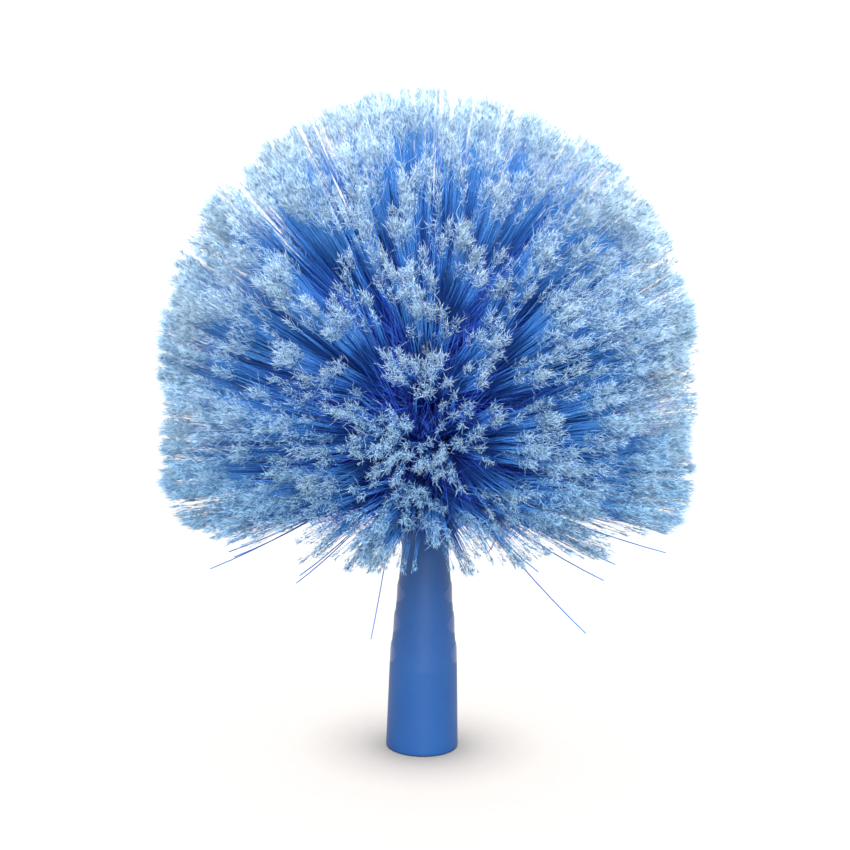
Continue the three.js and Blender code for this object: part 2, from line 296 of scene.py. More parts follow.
# %% Profile of the moulding
# The last number of each stretch is its count of steps. The taper has most, because the lugs grow from it.
bore_end_z = BORE_LENGTH + TAPER_BORE_LENGTH
end_round_radius = TAPER_BORE_END_RADIUS - BORE_END_ROUND
profile = np.vstack([
    straight((0, bore_end_z), (end_round_radius, bore_end_z), 4),
    arc((end_round_radius, bore_end_z - BORE_END_ROUND), BORE_END_ROUND, 90, 0, 8),
    straight((TAPER_BORE_END_RADIUS, bore_end_z - BORE_END_ROUND), (TAPER_BORE_RADIUS, BORE_LENGTH), 12),
    straight((TAPER_BORE_RADIUS, BORE_LENGTH), (BORE_RADIUS, BORE_LENGTH), 2),
    straight((BORE_RADIUS, BORE_LENGTH), (BORE_RADIUS, BORE_LEAD_IN), 12),
    straight((BORE_RADIUS, BORE_LEAD_IN), (BORE_RADIUS + BORE_LEAD_IN, 0), 2),
    straight((BORE_RADIUS + BORE_LEAD_IN, 0), (RIM_RADIUS - RIM_ROUND, 0), 2),
    arc((RIM_RADIUS - RIM_ROUND, RIM_ROUND), RIM_ROUND, -90, 0, 8),
    straight((RIM_RADIUS, RIM_ROUND), (SKIRT_TOP_RADIUS, SKIRT_LENGTH), 24),
    straight((SKIRT_TOP_RADIUS, SKIRT_LENGTH), (NECK_RADIUS, NECK_Z), 130),
    flare(28),
    straight((BULB_RADIUS, BULB_Z), (BULB_RADIUS, DOME_Z), 24),
    arc((0, DOME_Z), BULB_RADIUS, 0, 90, 22),
    [(0, DOME_Z + BULB_RADIUS)],
])
print("profile points:", len(profile))

# %% Turn the profile and raise the grip lugs
# The crest is where a lug stands out most, as a share of its height.
TURN_STEPS = 300
LUG_MIDDLES = [32.1, 42.3, 52.5]
LUG_WIDTH = 13
LUG_HEIGHT = 6.8
LUG_PROUD = 0.3
LUG_TOP_STEP = 0.15
LUG_CREST_SHARE = 0.765
LUG_EDGE = 0.28

turn = 2 * np.pi * np.arange(TURN_STEPS) / TURN_STEPS
rings = profile[1:-1]
radius = np.repeat(rings[:, :1], TURN_STEPS, 1)
height = np.repeat(rings[:, 1:], TURN_STEPS, 1)
outside = np.arange(len(rings))[:, None] > np.argmin(rings[:, 1])
lug_places = [0, LUG_CREST_SHARE, 1]
lug_rises = [0, LUG_PROUD, LUG_TOP_STEP]
on_lug = np.zeros_like(radius)
for middle in LUG_MIDDLES:
    across = 2 * radius * np.sin(turn) / LUG_WIDTH
    reach = np.hypot(across, 2 * (height - middle) / LUG_HEIGHT)
    ease = np.clip((1 - reach) * LUG_HEIGHT / 2 / LUG_EDGE, 0, 1)
    ease = ease * ease * (3 - 2 * ease) * outside
    radius = radius + ease * np.interp((height - middle) / LUG_HEIGHT + 0.5, lug_places, lug_rises)
    on_lug = np.maximum(on_lug, ease)
print("lugs up each of two sides:", len(LUG_MIDDLES))

# %% Mesh of the moulding
grid = np.stack([radius * np.cos(turn), radius * np.sin(turn), height], 2).reshape(-1, 3)
corners = np.vstack([grid, [[0, 0, profile[0, 1]], [0, 0, profile[-1, 1]]]])
bore_tip, dome_tip = len(grid), len(grid) + 1
step = np.arange(TURN_STEPS)
after = (step + 1) % TURN_STEPS
last_row = (len(rings) - 1) * TURN_STEPS
quads = np.vstack([
    np.column_stack([row + step, row + after, row + TURN_STEPS + after, row + TURN_STEPS + step])
    for row in range(0, last_row, TURN_STEPS)
])
bore_end = np.column_stack([np.full(TURN_STEPS, bore_tip), after, step])
dome_end = np.column_stack([np.full(TURN_STEPS, dome_tip), last_row + step, last_row + after])
halves = np.vstack([quads[:, [0, 1, 2]], quads[:, [0, 2, 3]], bore_end, dome_end])
moulding = piece_of("socket_moulding", corners, halves, socket_plastic)
polished = moulding.data.attributes.new(LUG_ATTRIBUTE, "FLOAT", "POINT")
polished.data.foreach_set("value", np.append(on_lug.ravel(), [0, 0]).astype(np.float32))
print("moulding faces:", len(halves))

# %% [markdown]
# ## Tuft holes
# A machine drills the bulb, folds a bundle of bristles over a flat wire and drives it into the hole.
# The holes are round and blind. They could be drawn into the profile's grid, but a hole crosses that grid
# at any angle, so one cutter with all of them is subtracted from the bulb.

# %% Drill the bulb
HOLE_RADIUS = 1.8
HOLE_DEPTH = 4.9
HOLE_SIDES = 20
CUT_ABOVE = 1.5
SHARP_DEG = 32

around = 2 * np.pi * np.arange(HOLE_SIDES) / HOLE_SIDES
drill_corners = []
drill_faces = []
for number, seat in enumerate(seats):
    spoke = np.cos(around)[:, None] * seat["along"] + np.sin(around)[:, None] * seat["upward"]
    floor = seat["mouth"] - HOLE_DEPTH * seat["outward"]
    lid = seat["mouth"] + CUT_ABOVE * seat["outward"]
    drill_corners += [floor + HOLE_RADIUS * spoke, lid + HOLE_RADIUS * spoke, [floor], [lid]]
    first = number * (2 * HOLE_SIDES + 2)
    floor_middle, lid_middle = first + 2 * HOLE_SIDES, first + 2 * HOLE_SIDES + 1
    for side in range(HOLE_SIDES):
        here, there = first + side, first + (side + 1) % HOLE_SIDES
        drill_faces += [
            (here, there, there + HOLE_SIDES), (here, there + HOLE_SIDES, here + HOLE_SIDES),
            (floor_middle, there, here), (lid_middle, here + HOLE_SIDES, there + HOLE_SIDES),
        ]
drill = piece_of("drill", np.vstack(drill_corners), drill_faces, socket_plastic)
cut = moulding.modifiers.new("tuft_holes", "BOOLEAN")
cut.operation = "DIFFERENCE"
cut.solver = "EXACT"
cut.object = drill
drilled = bpy.data.meshes.new_from_object(moulding.evaluated_get(bpy.context.evaluated_depsgraph_get()))
moulding.modifiers.clear()
moulding.data = drilled
bpy.data.objects.remove(drill)
drilled.shade_smooth()
drilled.set_sharp_from_angle(angle=math.radians(SHARP_DEG))
seat_on_brush(moulding, "socket_plastic", "pole_socket")
print("drilled faces:", len(drilled.polygons))

# %% [markdown]
# ## Thread in the socket
# Poles for such brushes have a coarse threaded tip. The socket holds the matching ridge, which winds up the
# straight part of the bore. A screw modifier would turn one section, but this ridge grows from nothing at
# both ends, as a moulded thread does, so its section is swept along the helix step by step. It goes a
# little way into the wall, so no slit shows along it.

# %% Thread ridge
THREAD_PITCH = 5.08
THREAD_START_Z = 3.2
THREAD_TURNS = 3.5
THREAD_STEPS = 72
THREAD_CREST_RADIUS = 8.35
THREAD_SUNK = 0.15
THREAD_ROOT_RADIUS = BORE_RADIUS + THREAD_SUNK
THREAD_ROOT_HALF = 1.25
THREAD_CREST_HALF = 0.55
THREAD_RUN_IN = 0.2
THREAD_LEAST_GROWN = 0.02
RIDGE_SIDES = 4

stations = int(THREAD_TURNS * THREAD_STEPS) + 1
turns = np.linspace(0, THREAD_TURNS, stations)
grown = np.clip(np.minimum(turns, THREAD_TURNS - turns) / THREAD_RUN_IN, THREAD_LEAST_GROWN, 1)
crest = THREAD_ROOT_RADIUS + (THREAD_CREST_RADIUS - THREAD_ROOT_RADIUS) * grown
section = np.stack([
    np.column_stack([np.full(stations, THREAD_ROOT_RADIUS), -THREAD_ROOT_HALF * grown]),
    np.column_stack([np.full(stations, THREAD_ROOT_RADIUS), THREAD_ROOT_HALF * grown]),
    np.column_stack([crest, THREAD_CREST_HALF * grown]),
    np.column_stack([crest, -THREAD_CREST_HALF * grown]),
], 1)
lift = THREAD_START_Z + THREAD_PITCH * turns
angle = 2 * np.pi * turns
ridge = np.stack([
    section[..., 0] * np.cos(angle)[:, None],
    section[..., 0] * np.sin(angle)[:, None],
    section[..., 1] + lift[:, None],
], 2).reshape(-1, 3)
ridge_faces = [tuple(reversed(range(RIDGE_SIDES)))]
for first in range(0, (stations - 1) * RIDGE_SIDES, RIDGE_SIDES):
    for side in range(RIDGE_SIDES):
        here, there = first + side, first + (side + 1) % RIDGE_SIDES
        ridge_faces.append((here, there, there + RIDGE_SIDES, here + RIDGE_SIDES))
ridge_faces.append(tuple(range((stations - 1) * RIDGE_SIDES, stations * RIDGE_SIDES)))
thread = piece_of("pole_thread", ridge, ridge_faces, socket_plastic)
thread.data.shade_smooth()
thread.data.set_sharp_from_angle(angle=math.radians(SHARP_DEG))
seat_on_brush(thread, "socket_plastic")
print("thread turns:", THREAD_TURNS)

# %% [markdown]
# ## Wire anchors
# Each tuft is held by a short flat wire across its hole. The solids of these wires are right as they are,
# so they only get their metal: drawn mild steel, which is grey and half bright, with a fine mottle where
# the drawing left its skin uneven. They sit deep in the holes, so one noise for tone and gloss is enough.

# %% Drawn steel of the anchors
MOTTLE_MM = 0.12
STEEL_COLOURS = ["#9a9da2", "#c4c7cb"]
STEEL_LEAST_ROUGH = 0.28
STEEL_MOST_ROUGH = 0.46

anchor_steel, tree, output = bare_material("drawn_mild_steel")
place = add(tree, "ShaderNodeTexCoord", {})
mottle = add(tree, "ShaderNodeTexNoise", {
    "Vector": place.outputs["Object"], "Scale": 1 / (MOTTLE_MM * MM), "Detail": 2.0})
worn = add(tree, "ShaderNodeMapRange", {
    "Value": mottle.outputs["Fac"], "To Min": STEEL_LEAST_ROUGH, "To Max": STEEL_MOST_ROUGH})
tone = add(tree, "ShaderNodeValToRGB", {"Fac": mottle.outputs["Fac"]})
for stop, colour in zip(tone.color_ramp.elements, STEEL_COLOURS):
    stop.color = linear(colour)
wire = add(tree, "ShaderNodeBsdfPrincipled", {
    "Base Color": tone.outputs["Color"], "Metallic": 1.0, "Roughness": worn.outputs["Result"]})
tree.links.new(wire.outputs["BSDF"], output.inputs["Surface"])
anchors = [node for name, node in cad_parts.items() if name.startswith("wire_anchor")]
for node in anchors:
    node.data.materials.clear()
    node.data.materials.append(anchor_steel)
print("anchors:", len(anchors))

# %% [markdown]
# ## Flagged bristle
# The bristles are extruded polystyrene filaments, about a third of a millimetre thick, whose ends were
# flagged: slashed so that each splits into fine hairs. The whole filament is dyed blue, but the split ends
# scatter light, so they look pale, almost white, while the imported shafts look deep blue. Some light goes
# through a filament, and it comes out deeper in colour than what bounces off. Hair curves with a hair
# shader would look much the same, but an exported mesh can't hold them. So the filaments are thin tubes,
# and their colour runs along them by a map: u goes from the root to the tips, and v holds the tone of a
# lock. The map is called OFBake. The map has the name under which the export keeps a map that a piece
# brings along.

# %% Flagged polystyrene
# Each colour stands at its place along the filament, from the root at 0 to the tips at 1.
BRISTLE_MAP = "OFBake"
# The purple at the root, 0.00, is painted shade: it gives the deep shade among the roots its purple tint.
SHAFT_COLOURS = [
    (0.00, "#6440e2"), (0.30, "#3564da"), (0.60, "#3068ba"), (0.74, "#4080c2"),
    (0.80, "#60a0d0"), (0.88, "#9ec5de"), (1.00, "#cfdbe4"),
]
DARKEST_LOCK = 0.80
BRIGHTEST_LOCK = 1.14
POLYSTYRENE_IOR = 1.59
FILAMENT_ROUGHNESS = 0.5
FILAMENT_SPECULAR = 0.15
THROUGH_SATURATION = 1.3
THROUGH_SHARE = 0.4

bristle_plastic, tree, output = bare_material("flagged_extruded_polystyrene")
map_place = add(tree, "ShaderNodeUVMap", {}, uv_map=BRISTLE_MAP)
parts = add(tree, "ShaderNodeSeparateXYZ", {"Vector": map_place.outputs["UV"]})
along_colour = add(tree, "ShaderNodeValToRGB", {"Fac": parts.outputs["X"]})
stops = along_colour.color_ramp.elements
for place_on_ramp, _ in SHAFT_COLOURS[1:-1]:
    stops.new(place_on_ramp)
for stop, (place_on_ramp, colour) in zip(stops, SHAFT_COLOURS):
    stop.position = place_on_ramp
    stop.color = linear(colour)
lock_tone = add(tree, "ShaderNodeMapRange", {
    "Value": parts.outputs["Y"], "To Min": DARKEST_LOCK, "To Max": BRIGHTEST_LOCK})
toned = add(tree, "ShaderNodeHueSaturation", {
    "Color": along_colour.outputs["Color"], "Value": lock_tone.outputs["Result"]})
filament = add(tree, "ShaderNodeBsdfPrincipled", {
    "Base Color": toned.outputs["Color"], "Roughness": FILAMENT_ROUGHNESS,
    "IOR": POLYSTYRENE_IOR, "Specular IOR Level": FILAMENT_SPECULAR})
deeper = add(tree, "ShaderNodeHueSaturation", {
    "Color": toned.outputs["Color"], "Saturation": THROUGH_SATURATION})
glow = add(tree, "ShaderNodeBsdfTranslucent", {"Color": deeper.outputs["Color"]})
clear = add(tree, "ShaderNodeMixShader", {
    "Fac": THROUGH_SHARE, 1: filament.outputs["BSDF"], 2: glow.outputs["BSDF"]})
tree.links.new(clear.outputs["Shader"], output.inputs["Surface"])
print("material:", bristle_plastic.name)

# %% [markdown]
# ## Where the tips end
# The trimmed tips lie on a plain form: a cylinder with a half ball on it. A patch of that form has an area
# that only depends on its height, so locks spaced evenly in height and turned by the golden angle cover it
# evenly. Each lock is then nudged, so no pattern shows, and joins the tuft that points closest to it.

# %% Spread the locks
SEED = 20
BRUSH_RADIUS = 85
ROUND_Z = 129
LOW_EDGE_Z = 80
LOCKS = 460
GOLDEN_ANGLE = math.pi * (3 - math.sqrt(5))
LOCK_NUDGE = 3.6

rng = np.random.default_rng(SEED)


def unit(vectors):
    """Vectors scaled to a length of one."""
    return vectors / np.linalg.norm(vectors, axis=-1, keepdims=True)


def onto_form(points):
    """The nearest places on the trimmed form, folded up at its low edge, and its outward direction there."""
    points = np.column_stack([points[:, :2], LOW_EDGE_Z + np.abs(points[:, 2] - LOW_EDGE_Z)])
    level = np.minimum(points[:, 2], ROUND_Z)
    centre = np.column_stack([np.zeros((len(points), 2)), level])
    away = unit(points - centre)
    return centre + BRUSH_RADIUS * away, away


order = np.arange(LOCKS) + 0.5
lock_height = LOW_EDGE_Z + (ROUND_Z + BRUSH_RADIUS - LOW_EDGE_Z) * order / LOCKS
above = np.maximum(lock_height - ROUND_Z, 0)
lock_radius = np.sqrt(BRUSH_RADIUS ** 2 - above ** 2)
lock_turn = order * GOLDEN_ANGLE
even = np.column_stack([lock_radius * np.cos(lock_turn), lock_radius * np.sin(lock_turn), lock_height])
locks, _ = onto_form(even + rng.normal(0, LOCK_NUDGE, even.shape))
aims, _ = onto_form(mouths + outwards * (BRUSH_RADIUS - BULB_RADIUS))
lock_tuft = np.argmin(np.linalg.norm(locks[:, None] - aims[None], axis=2), axis=1)
locks_in_tuft = np.bincount(lock_tuft, minlength=len(seats))
print("locks in a tuft:", locks_in_tuft.min(), "to", locks_in_tuft.max())

# %% [markdown]
# ## Filaments
# A lock is a handful of filaments that stick together. Most end close to the lock's middle, the outer ones
# a little lower, so its head is rounded. Within a lock the filaments cling together in small stars, and
# some stars stand alone in the gaps. Locks differ in size and length, as on a used brush, and a few are
# missing. The low skirt is fuller, but half of its stars fall short, which makes it ragged underneath, and
# its lowest tips end nearer to the axis, so its edge is round. A particle system could place the filaments,
# but it would not know of locks and stars, so their tips are worked out here from seeded random numbers.

# %% Sizes and tones of the locks
FILAMENTS_IN_LOCK = 42
LOCK_SIZES = (0.65, 1.45)
LOCK_LENGTH = 0.9
LOCK_LENGTH_SPREAD = 1.8
LOCK_SHADES = (0.15, 0.85)
MISSING_SHARE = 0.02
LOW_SKIRT_Z = 98
LOW_SKIRT_FILL = 2.3

low_skirt = np.where(locks[:, 2] < LOW_SKIRT_Z, LOW_SKIRT_FILL, 1)
there = (rng.random(LOCKS) > MISSING_SHARE) | (locks[:, 2] < LOW_SKIRT_Z)
lock_size = rng.uniform(*LOCK_SIZES, LOCKS)
in_lock = np.round(FILAMENTS_IN_LOCK * low_skirt * there * lock_size ** 2).astype(int)
lock_length = rng.normal(LOCK_LENGTH, LOCK_LENGTH_SPREAD, LOCKS)
lock_shade = rng.uniform(*LOCK_SHADES, LOCKS)
of_lock = np.repeat(np.arange(LOCKS), in_lock)
of_lock = of_lock[np.argsort(lock_tuft[of_lock], kind="stable")]
count = len(of_lock)
tuft = lock_tuft[of_lock]
print("filaments:", count)

# %% Tips of the filaments
FILAMENTS_IN_STAR = 5
STAR_WIDTH = 0.6
LOCK_WIDTH = 2.8
LOOSE_SHARE = 0.16
LOOSE_WIDTH = 6.5
TIP_LENGTH_SPREAD = 0.9
HEAD_ROUND = 0.6
HEAD_EDGE = 2.2
LONGEST_PROUD = 1.2
CUT_SHARE = 0.06
LOW_SKIRT_CUT_SHARE = 0.5
CUT_LEAST = 3
CUT_MOST = 26
EDGE_ROUND_Z = 90
EDGE_SHORT = 6
TONE_SPREAD = 0.12

of_star = np.arange(count) // FILAMENTS_IN_STAR
stars = of_star[-1] + 1
star_lock = of_lock[::FILAMENTS_IN_STAR]
width = np.where(rng.random(stars) < LOOSE_SHARE, LOOSE_WIDTH, LOCK_WIDTH * lock_size[star_lock])
offset = rng.normal(0, 1, (stars, 3))
star_place = locks[star_lock] + width[:, None] * offset
tips, away = onto_form(star_place[of_star] + STAR_WIDTH * rng.normal(0, 1, (count, 3)))
rounding = HEAD_ROUND * np.minimum(np.linalg.norm(offset, axis=1), HEAD_EDGE) ** 2
proud = (lock_length[star_lock] - rounding)[of_star] + rng.normal(0, TIP_LENGTH_SPREAD, count)
round_edge = np.clip((EDGE_ROUND_Z - tips[:, 2]) / (EDGE_ROUND_Z - LOW_EDGE_Z), 0, 1)
proud = np.minimum(proud, LONGEST_PROUD) - EDGE_SHORT * round_edge ** 2
tips = tips + proud[:, None] * away
fall_short_share = np.where(locks[star_lock, 2] < LOW_SKIRT_Z, LOW_SKIRT_CUT_SHARE, CUT_SHARE)
falls_short = rng.uniform(CUT_LEAST, CUT_MOST, stars) * (rng.random(stars) < fall_short_share)
tips = tips - falls_short[of_star][:, None] * unit(tips - mouths[tuft])
tone_row = np.clip(lock_shade[of_lock] + rng.normal(0, TONE_SPREAD, count), 0, 1)
print("stars:", stars)

# %% [markdown]
# ## Partings
# Between some rows of tufts the bristles have parted, and light shows through a slit. The slits share one
# axis, which runs from front to back through the bulb and a little up to the front. What would end up to a
# full width from the middle of a slit is pushed aside and packed closer along its edge, so no bristle is
# lost. Bristles could also be deleted there, but then the slit's edges would look thin.

# %% Partings
# Each slit has a direction, in degrees from upright to the right, and half a width.
PART_CENTRE = np.array([0, 0, 112])
PART_UP = np.array([0, 0.207, 0.978])
PART_AXIS = np.array([0, -0.978, 0.207])
PART_RIGHT = np.array([1, 0, 0])
PART_FROM = 45
PARTINGS = [(-25.5, 0.65), (-22.8, 0.5), (-41, 0.6), (0.5, 0.4), (29, 0.5), (44, 0.4)]


def part(points):
    """Points moved sideways out of the partings."""
    arm = points - PART_CENTRE
    over, right = arm @ PART_UP, arm @ PART_RIGHT
    turn, reach = np.arctan2(right, over), np.hypot(right, over)
    for part_deg, half_width in PARTINGS:
        off = turn - math.radians(part_deg)
        gap = np.where(reach > PART_FROM, half_width / reach, 0)
        shift = np.sign(off) * np.maximum(gap - np.abs(off) / 2, 0)
        turn = turn + shift
    side = (reach * np.sin(turn))[..., None] * PART_RIGHT + (reach * np.cos(turn))[..., None] * PART_UP
    return PART_CENTRE + (arm @ PART_AXIS)[..., None] * PART_AXIS + side


tips = part(tips)
print("partings:", len(PARTINGS))

# %% [markdown]
# ## Shafts
# A filament starts at the floor of its hole, beside the wire, and comes up through the mouth along the
# tuft. It fans out a little wider than the straight way to its own tip and bends back to it. A quadratic
# curve through these places gives the bend, and a slight bow makes no two alike. Each shaft is a thin
# three-sided tube that narrows to a point: three sides are enough at a third of a millimetre.

# %% Paths of the shafts
SHAFT_RADIUS = 0.15
SHAFT_END_RADIUS = 0.1
SHAFT_SHARES = (0.35, 0.75)
ROOT_REACH = 1.5
WIRE_HALF = 0.35
ROOT_DEPTH = 4.4
FLAG_LENGTH = 2.2
FLAG_SIZES = (0.7, 1.25)
FAN_AT = 0.25
FAN_EXTRA = 0.3
BOW = 0.7

spin = rng.uniform(0, 2 * np.pi, count)
out_from_middle = ROOT_REACH * np.sqrt(rng.random(count))
root_along = out_from_middle * np.cos(spin)
root_up = out_from_middle * np.sin(spin)
root_up = np.sign(root_up) * (WIRE_HALF + np.abs(root_up) * (1 - WIRE_HALF / ROOT_REACH))
root_shift = root_along[:, None] * alongs[tuft] + root_up[:, None] * upwards[tuft]
leave = mouths[tuft] + root_shift
foot = leave - ROOT_DEPTH * outwards[tuft]
heading = unit(tips - leave)
reach = np.linalg.norm(tips - leave, axis=1, keepdims=True)
flag = FLAG_LENGTH * rng.uniform(*FLAG_SIZES, (count, 1))
shaft_end = tips - flag * heading
bend = leave + FAN_AT * reach * unit((1 + FAN_EXTRA) * heading - FAN_EXTRA * outwards[tuft])
bow = BOW * rng.normal(0, 1, (count, 3))


def on_curve(share):
    """A place on each shaft's curve from its mouth to its end, with the bow at its most halfway."""
    curve = (1 - share) ** 2 * leave + 2 * share * (1 - share) * bend + share ** 2 * shaft_end
    return curve + 4 * share * (1 - share) * bow


on_way = [part(on_curve(share)) for share in SHAFT_SHARES]
shaft_paths = np.stack([foot, leave] + on_way + [shaft_end], 1)
shaft_radii = np.array([SHAFT_RADIUS] * 3 + [SHAFT_END_RADIUS, 0])
end_heading = unit(shaft_end - shaft_paths[:, -2])
print("mean shaft length:", round(float(reach.mean()), 1), "mm")

# %% [markdown]
# ## Flags
# Near its end each filament splits into nine hairs. They follow the filament and lean away from it, some
# more than others, so a tuft seen end-on shows small stars and seen from the side shows a soft pale band.
# Some hairs start further down, which makes that band fade instead of starting at a line. A few are long
# and curly. At the foot of the skirt the hairs lie closer to their filament, as if combed.

# %% Paths of the flag hairs
HAIRS = 9
HAIR_RADIUS = 0.066
HAIR_TAPER = 0.85
HAIR_LEAST = 1.5
HAIR_MOST = 3.6
LEAST_LEAN = 0.15
MOST_LEAN = 1.0
LEAN_SKEW = 1.5
COMBED_Z = 92
COMBED_LEAN = 0.4
EARLIEST_SPLIT = 8
SPLIT_SKEW = 2
HAIR_KINK = 0.13
CURLY_SHARE = 0.03
CURLY_LENGTH = 2.4
CURLY_KINK = 0.9

owner = np.repeat(np.arange(count), HAIRS)
hairs = len(owner)
curly = rng.random((hairs, 1)) < CURLY_SHARE
side = unit(np.cross(end_heading[owner], rng.normal(0, 1, (hairs, 3))))
split_back = EARLIEST_SPLIT * rng.random((hairs, 1)) ** SPLIT_SKEW
hair_start = shaft_end[owner] - split_back * end_heading[owner]
lean = LEAST_LEAN + (MOST_LEAN - LEAST_LEAN) * rng.random((hairs, 1)) ** LEAN_SKEW
lean = lean * np.where(tips[owner, 2:] < COMBED_Z, COMBED_LEAN, 1)
hair_length = rng.uniform(HAIR_LEAST, HAIR_MOST, (hairs, 1)) * np.where(curly, CURLY_LENGTH, 1)
hair_tip = hair_start + hair_length * unit(end_heading[owner] + lean * side)
kink = np.where(curly, CURLY_KINK, HAIR_KINK)
hair_middle = 0.5 * (hair_start + hair_tip) + kink * rng.normal(0, 1, (hairs, 3))
hair_paths = np.stack([hair_start, part(hair_middle), part(hair_tip)], 1)
hair_radii = np.array([HAIR_RADIUS, HAIR_TAPER * HAIR_RADIUS, 0])
print("flag hairs:", hairs)

# %% [markdown]
# ## Short bristles
# Not every filament reaches the outline. Short ones stand between the tufts, and broken ones lie low over
# the bulb, which is why its skin can't be seen. They have no flags, and they stay deep blue.

# %% Paths of the short bristles
SHORT_IN_TUFT = 200
SHORT_SPLAY = 0.55
SHORT_REACH = (18, 56)
SHORT_LOW_Z = 86
BROKEN_IN_TUFT = 150
BROKEN_SPLAY = (0.5, 1.9)
BROKEN_REACH = (6, 20)

short_tuft = np.repeat(np.arange(len(seats)), SHORT_IN_TUFT + BROKEN_IN_TUFT)
shorts = len(short_tuft)
broken = np.arange(shorts) % (SHORT_IN_TUFT + BROKEN_IN_TUFT) >= SHORT_IN_TUFT
splay_turn = rng.uniform(0, 2 * np.pi, (shorts, 1))
splay_way = np.cos(splay_turn) * alongs[short_tuft] + np.sin(splay_turn) * upwards[short_tuft]
standing_splay = SHORT_SPLAY * np.sqrt(rng.random(shorts))
broken_splay = rng.uniform(*BROKEN_SPLAY, shorts)
splay = np.where(broken, broken_splay, standing_splay)[:, None]
broken_reach = rng.uniform(*BROKEN_REACH, shorts)
standing_reach = rng.uniform(*SHORT_REACH, shorts)
short_reach = np.where(broken, broken_reach, standing_reach)[:, None]
short_foot = mouths[short_tuft] + ROOT_REACH * np.minimum(splay / SHORT_SPLAY, 1) * splay_way
short_way = unit(outwards[short_tuft] + splay * splay_way)
short_middle = short_foot + 0.5 * short_reach * short_way + BOW * rng.normal(0, 1, (shorts, 3))
short_tip = short_foot + short_reach * short_way
short_tip[:, 2] = SHORT_LOW_Z + np.abs(short_tip[:, 2] - SHORT_LOW_Z)
short_root = short_foot - ROOT_DEPTH * outwards[short_tuft]
short_paths = np.stack([short_root, short_foot, part(short_middle), part(short_tip)], 1)
short_radii = np.array([SHAFT_RADIUS] * 3 + [0])
print("short bristles:", shorts)

# %% [markdown]
# ## Strays
# A few bristles have slipped out of the skirt and hang below it. They lost their flags, so each is one thin
# line, deep blue at its foot and paler to its end. Their ends are listed in millimetres, and each
# belongs to the closest tuft of the lowest ring.

# %% Paths of the strays
STRAY_TIPS = np.array([
    (-16, -50, 52), (48, -60, 58), (-67, -22, 65), (-38, -60, 72), (-37, -59, 74), (74, -30, 75),
    (53, -55, 73), (57, -48, 76), (33, -68, 79), (-58, -40, 74), (-60, -36, 74.5), (62, 40, 66),
    (-20, 70, 62), (-58, 48, 70),
])
STRAY_DROOP = np.array([0, 0, 4])
STRAY_RADIUS = 0.2
STRAY_BLUNT = 0.4
STRAY_STATIONS = 9

low_ring = np.arange(STRAIGHT_RINGS[0][1])
stray_to_aim = np.linalg.norm(STRAY_TIPS[:, None] - aims[low_ring][None], axis=2)
stray_tuft = low_ring[np.argmin(stray_to_aim, axis=1)]
stray_foot = mouths[stray_tuft]
stray_pull = 0.5 * (stray_foot + STRAY_TIPS) - STRAY_DROOP
share = np.linspace(0, 1, STRAY_STATIONS)[None, :, None]
stray_curve = (
    (1 - share) ** 2 * stray_foot[:, None] + 2 * share * (1 - share) * stray_pull[:, None]
    + share ** 2 * STRAY_TIPS[:, None])
stray_root = stray_foot - ROOT_DEPTH * outwards[stray_tuft]
stray_end = STRAY_TIPS + STRAY_BLUNT * unit(STRAY_TIPS - stray_curve[:, -2])
stray_paths = np.concatenate([stray_root[:, None], stray_curve, stray_end[:, None]], 1)
stray_radii = np.array([STRAY_RADIUS] * (STRAY_STATIONS + 1) + [0])
print("strays:", len(stray_tuft))

# %% [markdown]
# ## From paths to tufts
# Curves with a bevel could give the tubes, but there are some 280,000 of them, and arrays make them all at
# once. Each tube is closed: a small triangle at its foot and a point at its end. Every tuft becomes one
# piece that stands for its share of a bristle solid. The lower a ring, the less pale are its hairs: this is
# painted shade on the low rings and painted light on the crown, where the light from above falls most.

# %% Faces of one tube
TUBE_SIDES = 3


def tube_faces(stations):
    """Corner numbers of one tube's faces, with each corner's station and side for its map."""
    faces, at, round_at = [(0, 2, 1)], [(0, 0, 0)], [(0, 2, 1)]
    top = stations - 2
    point = TUBE_SIDES * (top + 1)
    for station in range(stations - 1):
        for side in range(TUBE_SIDES):
            low, low_next = TUBE_SIDES * station + side, TUBE_SIDES * station + (side + 1) % TUBE_SIDES
            if station == top:
                faces.append((low, low_next, point))
                at.append((top, top, top + 1))
                round_at.append((side, side + 1, side + 0.5))
                continue
            high, high_next = low + TUBE_SIDES, low_next + TUBE_SIDES
            faces += [(low, low_next, high_next), (low, high_next, high)]
            at += [(station, station, station + 1), (station, station + 1, station + 1)]
            round_at += [(side, side + 1, side + 1), (side, side + 1, side)]
    return np.array(faces), np.array(at), np.array(round_at)


print("faces of a shaft:", len(tube_faces(len(shaft_radii))[0]))

# %% Tubes along paths
# A tube takes the map's row for its tone, and its sides lie next to each other in that row.
TONE_ROWS = 64
MAP_MARGIN = 0.1


